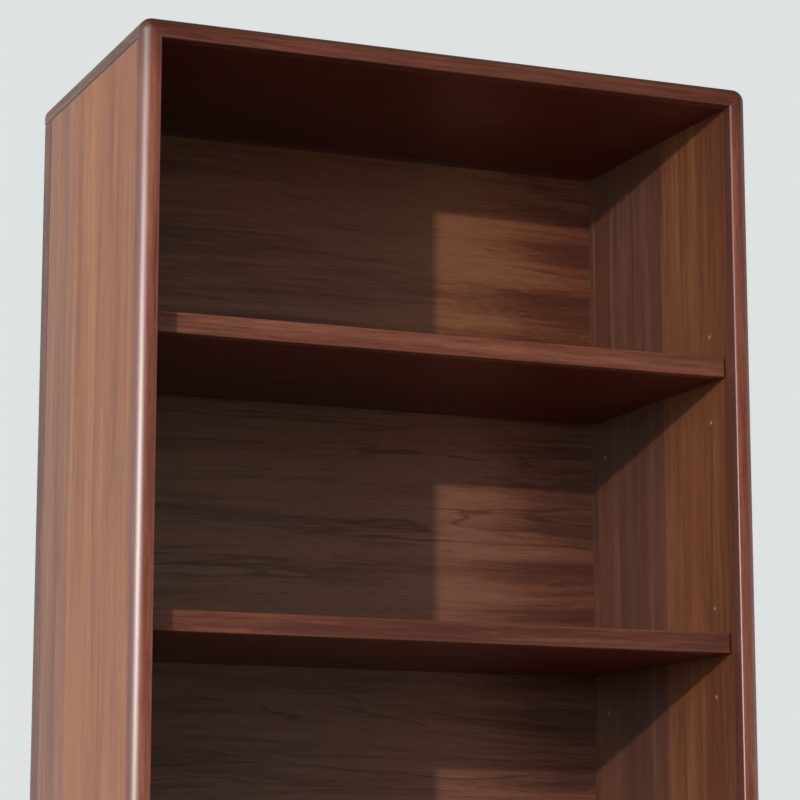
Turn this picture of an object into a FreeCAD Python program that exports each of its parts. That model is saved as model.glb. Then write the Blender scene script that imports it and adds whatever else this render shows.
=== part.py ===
# An open-front bookcase: a veneered case with solid, rounded lippings and four loose shelves on pins.
# Frame: X to the right, Y to the back, Z up. The origin is on the floor under the middle of the case.
# All sizes are in millimetres.
import FreeCAD, Part
import math
import os
import Sketcher

Vector = FreeCAD.Vector
doc = FreeCAD.newDocument("open_bookcase")
sheet = doc.addObject("Spreadsheet::Sheet", "sizes")
nodes = []


class Length:
    """A size as its number and as the expression that gives it from the sheet."""

    def __init__(self, text, value):
        self.text = text
        self.value = value

    def __add__(self, other):
        other = as_length(other)
        return Length(f"({self.text} + {other.text})", self.value + other.value)

    def __sub__(self, other):
        other = as_length(other)
        return Length(f"({self.text} - {other.text})", self.value - other.value)

    def __mul__(self, factor):
        factor = as_length(factor)
        return Length(f"({self.text} * {factor.text})", self.value * factor.value)

    def __truediv__(self, number):
        return Length(f"({self.text} / {number})", self.value / number)

    def __neg__(self):
        return Length(f"(0 - {self.text})", -self.value)


def as_length(number):
    """Turns a plain number into a Length."""
    if isinstance(number, Length):
        return number
    return Length(f"({number})", number)


def size(alias, number):
    """Puts one driving size into the next row of the sheet."""
    row = len(sheet.getUsedCells()) // 2 + 1
    sheet.set(f"A{row}", alias)
    sheet.set(f"B{row}", str(number))
    sheet.setAlias(f"B{row}", alias)
    return Length(f"sizes.{alias}", number)


# The case as a whole. Its height follows from the spaces between the shelves.
case_width = size("case_width", 800)
case_depth = size("case_depth", 420)
board = size("board_thickness", 25)
clear_height = size("clear_height", 320)
plinth_height = size("plinth_height", 60)
shelf_thickness = size("shelf_thickness", 25)
SHELF_COUNT = 4

# Solid lippings: the front ones are rounded outside, the rear ones stand behind a V-groove.
lipping_depth = size("lipping_depth", 18)
rear_lipping_depth = size("rear_lipping_depth", 32)
edge_radius = size("edge_radius", 15)
corner_radius = size("corner_radius", 16)
arris_radius = size("arris_radius", 2)
groove_chamfer = size("groove_chamfer", 1.5)

# Back panel in its rebate.
back_thickness = size("back_thickness", 8)
back_recess = size("back_recess", 7)
back_overlap = size("back_overlap", 10)
back_play = size("back_play", 0.5)

# Shelves and the pins that carry them.
shelf_setback = size("shelf_setback", 25)
shelf_end_gap = size("shelf_end_gap", 1)
shelf_back_gap = size("shelf_back_gap", 3)
shelf_arris = size("shelf_arris", 2.5)
pin_radius = size("pin_radius", 3)
pin_hole_depth = size("pin_hole_depth", 11)
pin_reach = size("pin_reach", 10)
pin_rise = size("pin_rise", 5)
pin_spacing = size("pin_spacing", 55)
pin_front_inset = size("pin_front_inset", 66)
pin_rear_inset = size("pin_rear_inset", 40)
notch_play = size("notch_play", 0.5)
seat_gap = size("seat_gap", 0.3)

# Base.
plinth_setback = size("plinth_setback", 40)
plinth_thickness = size("plinth_thickness", 18)
plinth_rear_gap = size("plinth_rear_gap", 18)
glide_height = size("glide_height", 4)
glide_radius = size("glide_radius", 10)
glide_inset = size("glide_inset", 80)
nail_radius = size("nail_radius", 1.5)
nail_length = size("nail_length", 14)

# Dowels and screws. Every hole is larger than what sits in it by the same fit all round.
hole_fit = size("hole_fit", 0.1)
dowel_radius = size("dowel_radius", 4)
dowel_length = size("dowel_length", 40)
dowel_in_rim = size("dowel_in_rim", 16)
dowel_in_side = size("dowel_in_side", 14)
dowel_inset = size("dowel_inset", 60)
glue_room = size("glue_room", 1)
screw_radius = size("screw_radius", 1.75)
screw_head_radius = size("screw_head_radius", 3.5)
screw_length = size("screw_length", 20)
screw_inset = size("screw_inset", 60)
doc.recompute()

half_width = case_width / 2
half_depth = case_depth / 2
inside_width = case_width - board * 2
shelf_pitch = clear_height + shelf_thickness
case_height = plinth_height + board * 2 + clear_height + shelf_pitch * SHELF_COUNT
rebate_depth = back_recess + back_thickness
pin_rear_place = case_depth - rebate_depth - pin_rear_inset
dowel_hole = dowel_radius + hole_fit
screw_hole = screw_radius + hole_fit


def near(number, target):
    """Says whether a coordinate lies on a place."""
    return abs(number - as_length(target).value) < 0.01


def bind(thing, path, length):
    """Ties one property to the sheet."""
    thing.setExpression(path, as_length(length).text)


def place(thing, x, y, z):
    """Ties the place of an object to the sheet."""
    bind(thing, "Placement.Base.x", x)
    bind(thing, "Placement.Base.y", y)
    bind(thing, "Placement.Base.z", z)


def keep(thing, label):
    """Names a sub-part and puts it on the list of pieces."""
    thing.Label = label
    nodes.append(thing)


def new_body(label, x, y, z):
    """Starts a body whose own origin is at a place in the case."""
    body = doc.addObject("PartDesign::Body", label)
    place(body, x, y, z)
    keep(body, label)
    return body


def new_sketch(body, name, plane, lift):
    """Starts a sketch on one of the body's own planes, lifted along the normal of that plane."""
    sketch = body.newObject("Sketcher::SketchObject", f"{body.Name}_{name}")
    for feature in body.Origin.OriginFeatures:
        if feature.Role == plane:
            sketch.AttachmentSupport = [(feature, "")]
    sketch.MapMode = "FlatFace"
    bind(sketch, "AttachmentOffset.Base.z", lift)
    return sketch


def locate(sketch, side, point, across, up):
    """Dimensions one point of a sketch from the origin of the sketch."""
    for kind, axis, place_length in (("DistanceX", -2, across), ("DistanceY", -1, up)):
        length = as_length(place_length)
        if length.text == "(0)":
            sketch.addConstraint(Sketcher.Constraint("PointOnObject", side, point, axis))
            continue
        constraint = Sketcher.Constraint(kind, -1, 1, side, point, length.value)
        number = sketch.addConstraint(constraint)
        bind(sketch, f"Constraints[{number}]", length)


def draw_outline(sketch, corners, arcs=None):
    """Draws a closed outline, anticlockwise. arcs gives the radius of each side that bulges outwards."""
    arcs = arcs or {}
    first = sketch.GeometryCount
    count = len(corners)
    points = []
    for across, up in corners:
        points.append(Vector(as_length(across).value, as_length(up).value, 0))
    for side in range(count):
        start = points[side]
        end = points[(side + 1) % count]
        if side not in arcs:
            sketch.addGeometry(Part.LineSegment(start, end), False)
            continue
        radius = as_length(arcs[side]).value
        chord = end - start
        inward = Vector(-chord.y, chord.x, 0).normalize()
        reach = math.sqrt(max(radius ** 2 - (chord.Length / 2) ** 2, 0))
        centre = (start + end) * 0.5 + inward * reach
        begin = math.atan2(start.y - centre.y, start.x - centre.x)
        finish = math.atan2(end.y - centre.y, end.x - centre.x)
        if finish < begin:
            finish += 2 * math.pi
        circle = Part.Circle(centre, Vector(0, 0, 1), radius)
        sketch.addGeometry(Part.ArcOfCircle(circle, begin, finish), False)
    for side in range(count):
        following = first + (side + 1) % count
        sketch.addConstraint(Sketcher.Constraint("Coincident", first + side, 2, following, 1))
        locate(sketch, first + side, 1, corners[side][0], corners[side][1])
    for side, radius in arcs.items():
        number = sketch.addConstraint(Sketcher.Constraint("Radius", first + side, as_length(radius).value))
        bind(sketch, f"Constraints[{number}]", radius)


def draw_rectangle(sketch, left, low, right, high):
    """Draws a rectangle from its two corners."""
    draw_outline(sketch, [(left, low), (right, low), (right, high), (left, high)])


def draw_circle(sketch, across, up, radius):
    """Draws one dimensioned circle."""
    radius = as_length(radius)
    middle = Vector(as_length(across).value, as_length(up).value, 0)
    side = sketch.addGeometry(Part.Circle(middle, Vector(0, 0, 1), radius.value), False)
    number = sketch.addConstraint(Sketcher.Constraint("Radius", side, radius.value))
    bind(sketch, f"Constraints[{number}]", radius)
    locate(sketch, side, 3, across, up)


def pad(sketch, length, backwards=False):
    """Grows a sketch into the first solid of its body."""
    body = sketch.getParentGeoFeatureGroup()
    feature = body.newObject("PartDesign::Pad", f"{sketch.Name}_pad")
    feature.Profile = sketch
    feature.Reversed = backwards
    bind(feature, "Length", length)
    doc.recompute()
    return feature


def pocket(sketch, depth, backwards=False):
    """Cuts a sketch into its body, and makes sure that the cut takes something away."""
    body = sketch.getParentGeoFeatureGroup()
    doc.recompute()
    before = body.Shape.Volume
    feature = body.newObject("PartDesign::Pocket", f"{sketch.Name}_cut")
    feature.Profile = sketch
    feature.Reversed = backwards
    bind(feature, "Length", depth)
    doc.recompute()
    if not feature.Shape.Volume < before - 0.01:
        raise RuntimeError(f"{feature.Name} cuts nothing")
    return feature


def pattern(feature, sketch, axis, count, spacing):
    """Repeats a cut along one axis of its sketch."""
    body = sketch.getParentGeoFeatureGroup()
    rows = body.newObject("PartDesign::LinearPattern", f"{feature.Name}_rows")
    rows.Originals = [feature]
    rows.Direction = (sketch, [axis])
    rows.Mode = "Spacing"
    rows.Occurrences = count
    bind(rows, "Offset", spacing)
    body.Tip = rows
    doc.recompute()


def mirror_cut(body, feature, plane):
    """Repeats a cut on the other side of one of the body's own planes."""
    mirrored = body.newObject("PartDesign::Mirrored", f"{feature.Name}_mirrored")
    mirrored.Originals = [feature]
    for origin_feature in body.Origin.OriginFeatures:
        if origin_feature.Role == plane:
            mirrored.MirrorPlane = (origin_feature, [""])
    body.Tip = mirrored
    doc.recompute()


def dress(body, kind, name, length, chosen):
    """Rounds or chamfers the edges whose middle point passes a test."""
    doc.recompute()
    base = body.Tip
    names = []
    for number, edge in enumerate(base.Shape.Edges, start=1):
        middle = edge.valueAt((edge.FirstParameter + edge.LastParameter) / 2)
        if chosen(middle):
            names.append(f"Edge{number}")
    feature = body.newObject(f"PartDesign::{kind}", f"{body.Name}_{name}")
    feature.Base = (base, names)
    bind(feature, "Radius" if kind == "Fillet" else "Size", length)
    doc.recompute()


def mirror_piece(piece, label):
    """Makes the right-hand piece as the mirror image of the left-hand one."""
    mirrored = doc.addObject("Part::Mirroring", label)
    mirrored.Source = piece
    mirrored.Normal = Vector(1, 0, 0)
    keep(mirrored, label)


def rod(name, radius, length, turn, x, y, z):
    """Makes a round bar along Z, or along another axis after a turn, with chamfered ends."""
    bar = doc.addObject("Part::Cylinder", f"{name}_bar")
    bind(bar, "Radius", radius)
    bind(bar, "Height", length)
    bar.Placement = FreeCAD.Placement(Vector(), turn)
    place(bar, x, y, z)
    doc.recompute()
    ends = doc.addObject("Part::Chamfer", name)
    ends.Base = bar
    bevel = as_length(radius).value * 0.2
    ends.Edges = [(1, bevel, bevel), (3, bevel, bevel)]
    return ends


def group(label, pieces):
    """Puts like pieces into one node as separate solids."""
    compound = doc.addObject("Part::Compound", label)
    compound.Links = pieces
    keep(compound, label)


UPRIGHT = FreeCAD.Rotation()
ALONG_X = FreeCAD.Rotation(Vector(0, 1, 0), 90)
ALONG_Y = FreeCAD.Rotation(Vector(1, 0, 0), -90)

# Side panel. Its own origin is the inner bottom corner behind the front lipping, so X runs outwards as minus.
panel_depth = case_depth - lipping_depth - rear_lipping_depth
panel_height = case_height - board - glide_height
dowel_places = [dowel_inset, panel_depth / 2, panel_depth - dowel_inset]
side = new_body("left_side_panel", board - half_width, lipping_depth - half_depth, glide_height)
sketch = new_sketch(side, "outline", "YZ_Plane", 0)
draw_rectangle(sketch, 0, 0, panel_depth, panel_height)
pad(sketch, board, backwards=True)

# The outer edges at the top and the rear are half of the V-grooves.
dress(side, "Chamfer", "grooves", groove_chamfer,
      lambda p: near(p.x, -board) and (near(p.y, panel_depth) or near(p.z, panel_height)))

# Three pairs of pin holes for each shelf: the pair in use and a spare pair above and below it.
lowest_pin = plinth_height + board + clear_height + pin_rise - glide_height
sketch = new_sketch(side, "pin_holes", "YZ_Plane", 0)
for row in (-1, 0, 1):
    for place_behind_front in (pin_front_inset, pin_rear_place):
        draw_circle(sketch, place_behind_front - lipping_depth, lowest_pin + pin_spacing * row,
                    pin_radius + hole_fit)
cut = pocket(sketch, pin_hole_depth)
pattern(cut, sketch, "V_Axis", SHELF_COUNT, shelf_pitch)

# Dowel holes for the bottom panel and the two plinth boards on the inner face.
plinth_board_height = plinth_height - glide_height
plinth_places = [plinth_setback + plinth_thickness / 2 - lipping_depth,
                 panel_depth - plinth_rear_gap - plinth_thickness / 2]
sketch = new_sketch(side, "dowel_holes", "YZ_Plane", 0)
for dowel_place in dowel_places:
    draw_circle(sketch, dowel_place, plinth_board_height + board / 2, dowel_hole)
for plinth_place in plinth_places:
    for part_of_height in (0.25, 0.75):
        draw_circle(sketch, plinth_place, plinth_board_height * part_of_height, dowel_hole)
pocket(sketch, dowel_in_side + glue_room)

# Dowel holes for the rim in the top end, and nail holes for the glides in the bottom end.
sketch = new_sketch(side, "top_holes", "XY_Plane", panel_height)
for dowel_place in dowel_places:
    draw_circle(sketch, -board / 2, dowel_place, dowel_hole)
pocket(sketch, dowel_length - dowel_in_rim + glue_room)
sketch = new_sketch(side, "nail_holes", "XY_Plane", 0)
for glide_place in (glide_inset - lipping_depth, case_depth - glide_inset - lipping_depth):
    draw_circle(sketch, -board / 2, glide_place, nail_radius + hole_fit)
pocket(sketch, nail_length + glue_room, backwards=True)
mirror_piece(side, "right_side_panel")

# Front post: seen from the front it ends in a mitre at the top, with the rounded corner of the case above it.
post_height = case_height - glide_height
mitre_inset = corner_radius * (1 - math.sqrt(0.5))
post = new_body("left_front_lipping", -half_width, -half_depth, glide_height)
sketch = new_sketch(post, "outline", "XZ_Plane", 0)
draw_outline(sketch, [(0, 0), (board, 0), (board, post_height - board),
                      (mitre_inset, post_height - mitre_inset), (0, post_height - corner_radius)],
             arcs={3: corner_radius})
pad(sketch, lipping_depth, backwards=True)
dress(post, "Fillet", "round", edge_radius,
      lambda p: near(p.y, 0) and p.x < corner_radius.value * 0.1)
dress(post, "Fillet", "arris", arris_radius, lambda p: near(p.y, 0) and near(p.x, board))
mirror_piece(post, "right_front_lipping")

# Rear strip of the side: an L section, because the rebate for the back panel runs down its inner edge.
strip = new_body("left_rear_lipping", -half_width, half_depth - rear_lipping_depth, glide_height)
shoulder = rear_lipping_depth - rebate_depth
sketch = new_sketch(strip, "section", "XY_Plane", 0)
draw_outline(sketch, [(0, 0), (board, 0), (board, shoulder), (board - back_overlap, shoulder),
                      (board - back_overlap, rear_lipping_depth), (0, rear_lipping_depth)])
pad(sketch, panel_height)
dress(strip, "Chamfer", "grooves", groove_chamfer,
      lambda p: near(p.x, 0) and (near(p.y, 0) or near(p.z, panel_height)))
dress(strip, "Fillet", "arris", arris_radius, lambda p: near(p.x, 0) and near(p.y, rear_lipping_depth))
side_screw_low = plinth_height + screw_inset
side_screw_pitch = (case_height - board - screw_inset - side_screw_low) / 4
sketch = new_sketch(strip, "screw_holes", "XZ_Plane", -shoulder)
draw_circle(sketch, board - back_overlap / 2, side_screw_low - glide_height, screw_hole)
cut = pocket(sketch, screw_length - back_thickness + glue_room, backwards=True)
pattern(cut, sketch, "V_Axis", 5, side_screw_pitch)
mirror_piece(strip, "right_rear_lipping")

# Rim of the top over the side panel: rounded above, with its half of the V-groove below.
rim_length = case_depth - lipping_depth
rim = new_body("top_left_rim", -half_width, lipping_depth - half_depth, case_height - board)
sketch = new_sketch(rim, "section", "XZ_Plane", 0)
draw_outline(sketch, [(0, 0), (board, 0), (board, board), (corner_radius, board),
                      (0, board - corner_radius)], arcs={3: corner_radius})
pad(sketch, rim_length, backwards=True)
dress(rim, "Chamfer", "groove", groove_chamfer, lambda p: near(p.x, 0) and near(p.z, 0))
sketch = new_sketch(rim, "rebate", "XZ_Plane", -rim_length)
draw_rectangle(sketch, board - back_overlap, 0, board, back_overlap)
pocket(sketch, rebate_depth, backwards=True)
sketch = new_sketch(rim, "dowel_holes", "XY_Plane", 0)
for dowel_place in dowel_places:
    draw_circle(sketch, board / 2, dowel_place, dowel_hole)
pocket(sketch, dowel_in_rim + glue_room, backwards=True)
mirror_piece(rim, "top_right_rim")

# Top panel between the rims.
panel = new_body("top_panel", 0, lipping_depth - half_depth, case_height - board)
sketch = new_sketch(panel, "outline", "XY_Plane", 0)
draw_rectangle(sketch, -inside_width / 2, 0, inside_width / 2, panel_depth)
pad(sketch, board)

# Front rail of the top, mitred to both posts. Its upper edge and both corners are one continuous round.
rail = new_body("top_front_lipping", 0, -half_depth, case_height - board)
sketch = new_sketch(rail, "outline", "XZ_Plane", 0)
draw_outline(sketch, [(-inside_width / 2, 0), (inside_width / 2, 0),
                      (half_width - mitre_inset, board - mitre_inset), (half_width - corner_radius, board),
                      (corner_radius - half_width, board), (mitre_inset - half_width, board - mitre_inset)],
             arcs={2: corner_radius, 4: corner_radius})
pad(sketch, lipping_depth, backwards=True)
dress(rail, "Fillet", "round", edge_radius,
      lambda p: near(p.y, 0) and p.z > (board - corner_radius * 0.1).value)
dress(rail, "Fillet", "arris", arris_radius, lambda p: near(p.y, 0) and near(p.z, 0))

# Rear strip of the top between the rims, rebated along its lower edge.
bar = new_body("top_rear_lipping", -inside_width / 2, half_depth - rear_lipping_depth, case_height - board)
sketch = new_sketch(bar, "section", "YZ_Plane", 0)
draw_outline(sketch, [(0, 0), (shoulder, 0), (shoulder, back_overlap), (rear_lipping_depth, back_overlap),
                      (rear_lipping_depth, board), (0, board)])
pad(sketch, inside_width)
row_screw_pitch = (inside_width - screw_inset * 2) / 2
sketch = new_sketch(bar, "screw_holes", "XZ_Plane", -shoulder)
draw_circle(sketch, screw_inset, back_overlap / 2, screw_hole)
cut = pocket(sketch, screw_length - back_thickness + glue_room, backwards=True)
pattern(cut, sketch, "H_Axis", 3, row_screw_pitch)

# Bottom panel between the sides, up to the face of the back panel.
deck_depth = case_depth - lipping_depth - rebate_depth
deck = new_body("bottom_panel", 0, lipping_depth - half_depth, plinth_height)
sketch = new_sketch(deck, "outline", "XY_Plane", 0)
draw_rectangle(sketch, -inside_width / 2, 0, inside_width / 2, deck_depth)
pad(sketch, board)
sketch = new_sketch(deck, "screw_holes", "XZ_Plane", -deck_depth)
draw_circle(sketch, screw_inset - inside_width / 2, board / 2, screw_hole)
cut = pocket(sketch, screw_length - back_thickness + glue_room, backwards=True)
pattern(cut, sketch, "H_Axis", 3, row_screw_pitch)
sketch = new_sketch(deck, "dowel_holes", "YZ_Plane", inside_width / 2)
for dowel_place in dowel_places:
    draw_circle(sketch, dowel_place, board / 2, dowel_hole)
cut = pocket(sketch, dowel_length - dowel_in_side + glue_room)
mirror_cut(deck, cut, "YZ_Plane")

# Solid front edge of the bottom panel.
edge = new_body("bottom_front_lipping", -inside_width / 2, -half_depth, plinth_height)
sketch = new_sketch(edge, "section", "YZ_Plane", 0)
draw_rectangle(sketch, 0, 0, lipping_depth, board)
pad(sketch, inside_width)
dress(edge, "Fillet", "arris", arris_radius,
      lambda p: near(p.y, 0) and (near(p.z, 0) or near(p.z, board)))

# Plinth boards under the bottom panel, set back at the front and in front of the rear strips at the rear.
for label, plinth_place in zip(("front_plinth_board", "rear_plinth_board"), plinth_places):
    skirt_front = plinth_place + lipping_depth - plinth_thickness / 2 - half_depth
    skirt = new_body(label, 0, skirt_front, glide_height)
    sketch = new_sketch(skirt, "outline", "XY_Plane", 0)
    draw_rectangle(sketch, -inside_width / 2, 0, inside_width / 2, plinth_thickness)
    pad(sketch, plinth_board_height)
    sketch = new_sketch(skirt, "dowel_holes", "YZ_Plane", inside_width / 2)
    for part_of_height in (0.25, 0.75):
        draw_circle(sketch, plinth_thickness / 2, plinth_board_height * part_of_height, dowel_hole)
    cut = pocket(sketch, dowel_length - dowel_in_side + glue_room)
    mirror_cut(skirt, cut, "YZ_Plane")

# Back panel: one sheet in the rebates, with countersunk holes all round.
sheet_bottom = plinth_height
sheet_top = case_height - board + back_overlap - back_play
sheet_half = inside_width / 2 + back_overlap - back_play
back = new_body("back_panel", 0, half_depth - back_recess, 0)
sketch = new_sketch(back, "outline", "XZ_Plane", 0)
draw_rectangle(sketch, -sheet_half, sheet_bottom, sheet_half, sheet_top)
pad(sketch, back_thickness)
screw_places = []
for step in range(5):
    for sign in (-1, 1):
        screw_places.append(((half_width - board + back_overlap / 2) * sign,
                             side_screw_low + side_screw_pitch * step))
for step in (-1, 0, 1):
    screw_places.append((row_screw_pitch * step, case_height - board + back_overlap / 2))
    screw_places.append((row_screw_pitch * step, plinth_height + board / 2))
sketch = new_sketch(back, "screw_holes", "XZ_Plane", 0)
for across, up in screw_places:
    draw_circle(sketch, across, up, screw_hole)
pocket(sketch, back_thickness, backwards=True)
head_slope = screw_head_radius - screw_radius
dress(back, "Chamfer", "countersinks", head_slope,
      lambda p: near(p.y, 0) and sheet_bottom.value + 1 < p.z < sheet_top.value - 1
      and abs(p.x) < sheet_half.value - 1)

# Countersunk screws of the back panel, with their heads level with its rear face.
screws = []
for number, (across, up) in enumerate(screw_places, start=1):
    head = doc.addObject("Part::Cone", f"screw_{number}_head")
    bind(head, "Radius1", screw_radius)
    bind(head, "Radius2", screw_head_radius)
    bind(head, "Height", head_slope)
    head.Placement = FreeCAD.Placement(Vector(), ALONG_Y)
    place(head, across, half_depth - back_recess - head_slope, up)
    shank = doc.addObject("Part::Cylinder", f"screw_{number}_shank")
    bind(shank, "Radius", screw_radius)
    bind(shank, "Height", screw_length - head_slope)
    shank.Placement = FreeCAD.Placement(Vector(), ALONG_Y)
    place(shank, across, half_depth - back_recess - screw_length, up)
    screw = doc.addObject("Part::Fuse", f"screw_{number}")
    screw.Base = head
    screw.Tool = shank
    screws.append(screw)
group("back_panel_screws", screws)

# Glued dowels: upright ones under the rims, level ones in the bottom panel and the plinth boards.
top_dowels = []
bottom_dowels = []
plinth_dowels = []
for sign, name in ((-1, "left"), (1, "right")):
    if sign > 0:
        level_x = half_width - board - dowel_length + dowel_in_side
    else:
        level_x = board - half_width - dowel_in_side
    for number, dowel_place in enumerate(dowel_places, start=1):
        behind = dowel_place + lipping_depth - half_depth
        top_dowels.append(rod(f"top_dowel_{name}_{number}", dowel_radius, dowel_length, UPRIGHT,
                              (half_width - board / 2) * sign, behind,
                              case_height - board - dowel_length + dowel_in_rim))
        bottom_dowels.append(rod(f"bottom_dowel_{name}_{number}", dowel_radius, dowel_length, ALONG_X,
                                 level_x, behind, plinth_height + board / 2))
    for number, plinth_place in enumerate(plinth_places, start=1):
        for part_of_height in (0.25, 0.75):
            behind = plinth_place + lipping_depth - half_depth
            up = glide_height + plinth_board_height * part_of_height
            plinth_dowels.append(rod(f"plinth_dowel_{name}_{number}_{int(part_of_height * 100)}",
                                     dowel_radius, dowel_length, ALONG_X, level_x, behind, up))
group("top_dowels", top_dowels)
group("bottom_dowels", bottom_dowels)
group("plinth_dowels", plinth_dowels)

# Nail-on glides under the side panels.
glides = []
for sign, name in ((-1, "left"), (1, "right")):
    for end, behind in (("front", glide_inset - half_depth), ("rear", half_depth - glide_inset)):
        disc = doc.addObject("Part::Cylinder", f"glide_{name}_{end}_disc")
        bind(disc, "Radius", glide_radius)
        bind(disc, "Height", glide_height)
        place(disc, (half_width - board / 2) * sign, behind, 0)
        nail = doc.addObject("Part::Cylinder", f"glide_{name}_{end}_nail")
        bind(nail, "Radius", nail_radius)
        bind(nail, "Height", nail_length + glide_height / 2)
        place(nail, (half_width - board / 2) * sign, behind, glide_height / 2)
        doc.recompute()
        rounded = doc.addObject("Part::Fillet", f"glide_{name}_{end}_rounded")
        rounded.Base = disc
        rounded.Edges = [(3, glide_height.value * 0.4, glide_height.value * 0.4)]
        glide = doc.addObject("Part::Fuse", f"glide_{name}_{end}")
        glide.Base = rounded
        glide.Tool = nail
        glides.append(glide)
group("floor_glides", glides)

# Loose shelves, numbered from the top, each with its solid front edge and the four pins under it.
shelf_half = inside_width / 2 - shelf_end_gap
shelf_board_depth = case_depth - rebate_depth - shelf_back_gap - shelf_setback - lipping_depth
notch_half = pin_radius + notch_play
notch_depth = pin_rise + pin_radius + seat_gap
notch_round = notch_half * 0.8
notch_end = pin_reach + notch_play * 4 - shelf_end_gap - shelf_half
for number in range(1, SHELF_COUNT + 1):
    below = SHELF_COUNT - number
    underside = plinth_height + board + clear_height + shelf_pitch * below
    board_front = shelf_setback + lipping_depth - half_depth

    # Board with four milled notches, open at the ends, that drop over the pins.
    shelf = new_body(f"shelf_{number}_board", 0, board_front, underside)
    sketch = new_sketch(shelf, "outline", "XY_Plane", 0)
    draw_rectangle(sketch, -shelf_half, 0, shelf_half, shelf_board_depth)
    pad(sketch, shelf_thickness)
    sketch = new_sketch(shelf, "notches", "XY_Plane", 0)
    for behind_front in (pin_front_inset, pin_rear_place):
        middle = behind_front - shelf_setback - lipping_depth
        low = middle - notch_half
        high = middle + notch_half
        draw_outline(sketch, [(-shelf_half, low), (notch_end - notch_round, low),
                              (notch_end, low + notch_round), (notch_end, high - notch_round),
                              (notch_end - notch_round, high), (-shelf_half, high)],
                     arcs={1: notch_round, 3: notch_round})
    cut = pocket(sketch, notch_depth, backwards=True)
    mirror_cut(shelf, cut, "YZ_Plane")

    # Solid front edge, eased all round its front face.
    edge = new_body(f"shelf_{number}_lipping", -shelf_half, shelf_setback - half_depth, underside)
    sketch = new_sketch(edge, "section", "YZ_Plane", 0)
    draw_rectangle(sketch, 0, 0, lipping_depth, shelf_thickness)
    pad(sketch, shelf_half * 2)
    dress(edge, "Fillet", "arris", shelf_arris, lambda p: near(p.y, 0))

    # Pins, pushed into the side panels.
    pins = []
    pin_length = pin_hole_depth + pin_reach
    for behind_front, end in ((pin_front_inset, "front"), (pin_rear_place, "rear")):
        for name, pin_x in (("left", board - half_width - pin_hole_depth),
                            ("right", half_width - board - pin_reach)):
            pins.append(rod(f"shelf_{number}_pin_{name}_{end}", pin_radius, pin_length, ALONG_X,
                            pin_x, behind_front - half_depth, underside + pin_rise))
    group(f"shelf_{number}_pins", pins)

doc.recompute()

# Nothing is written unless the whole document is sound.
for thing in doc.Objects:
    if "Invalid" in thing.State or "Error" in thing.State:
        raise RuntimeError(f"{thing.Name} failed: {thing.State}")
for node in nodes:
    if node.Shape.isNull() or not node.Shape.isValid():
        raise RuntimeError(f"{node.Label} has no valid shape")

os.makedirs("parts", exist_ok=True)
for node in nodes:
    node.Shape.exportStep(f"parts/{node.Label}.step")
    box = node.Shape.BoundBox
    print(node.Label, len(node.Shape.Solids), round(node.Shape.Volume / 1000, 2), "cm3",
          [round(v, 2) for v in (box.XMin, box.YMin, box.ZMin, box.XMax, box.YMax, box.ZMax)])
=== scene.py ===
# An open-front bookcase of veneered board with solid, rounded lippings and four loose shelves.
# Metres, X to the right, Y to the back, Z up, with the origin on the floor under the middle of the case.
import math

import bmesh
import bpy
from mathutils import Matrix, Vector


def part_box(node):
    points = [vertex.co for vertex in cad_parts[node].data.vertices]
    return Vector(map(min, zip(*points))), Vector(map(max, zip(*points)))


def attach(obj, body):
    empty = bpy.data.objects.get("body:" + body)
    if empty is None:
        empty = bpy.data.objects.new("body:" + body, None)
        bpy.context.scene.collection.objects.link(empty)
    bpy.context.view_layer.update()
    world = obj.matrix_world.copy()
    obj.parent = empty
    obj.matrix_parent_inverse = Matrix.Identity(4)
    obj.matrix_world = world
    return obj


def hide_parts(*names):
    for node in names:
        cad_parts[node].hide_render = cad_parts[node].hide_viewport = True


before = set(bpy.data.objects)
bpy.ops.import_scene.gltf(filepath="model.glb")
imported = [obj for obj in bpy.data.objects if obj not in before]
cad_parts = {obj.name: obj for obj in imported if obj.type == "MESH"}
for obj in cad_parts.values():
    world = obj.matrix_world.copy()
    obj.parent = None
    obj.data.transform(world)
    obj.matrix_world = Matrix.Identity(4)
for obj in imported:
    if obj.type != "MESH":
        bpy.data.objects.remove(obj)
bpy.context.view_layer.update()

# The two side panels: chipboard faced on both sides with upright veneer and lacquered to a satin sheen.
# The veneer is laid in leaves a hand or more wide, and neighbouring leaves differ in hue.
# They stand on the floor glides and carry the top, the bottom and the shelf pins.
SIDEWAYS = 0
BACKWARDS = 1
UPWARDS = 2
SIDE_WARM = ((92, 50, 32), (116, 68, 43), (130, 80, 51), (144, 94, 62))
SIDE_COOL = ((82, 50, 40), (102, 66, 53), (116, 79, 64), (130, 94, 76))
SIDE_VEIN = (54, 29, 21)
CHIPBOARD = (196, 158, 114)
# Each leaf: the place behind the middle where it starts, its share of the cool hue, and its lift in shade.
LEFT_LEAVES = ((-0.192, 0.25, 0.02), (-0.040, 0.15, 0.05), (0.060, 0.65, 0.02))
RIGHT_LEAVES = ((-0.192, 0.40, -0.10), (-0.118, 0.30, -0.02), (-0.016, 1.00, -0.10), (0.135, 0.60, -0.08))
# The V-grooves outside: their depth, and how near the outer face and the edge stain has dried in them.
GROOVE_DEPTH = 0.0015
GROOVE_STAIN = (58, 23, 16)
GROOVE_SHARE = 0.95
GROOVE_SKIN = 0.0018
GROOVE_SKIN_BLUR = 0.0006
GROOVE_EDGE = 0.0018
GROOVE_WALL = 0.0009


def tone(red, green, blue):
    """A colour as a picture shows it, 0 to 255, turned into the light values that shaders mix."""
    light = []
    for part in (red / 255, green / 255, blue / 255):
        light.append(part / 12.92 if part <= 0.04045 else ((part + 0.055) / 1.055) ** 2.4)
    return (*light, 1.0)


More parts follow.
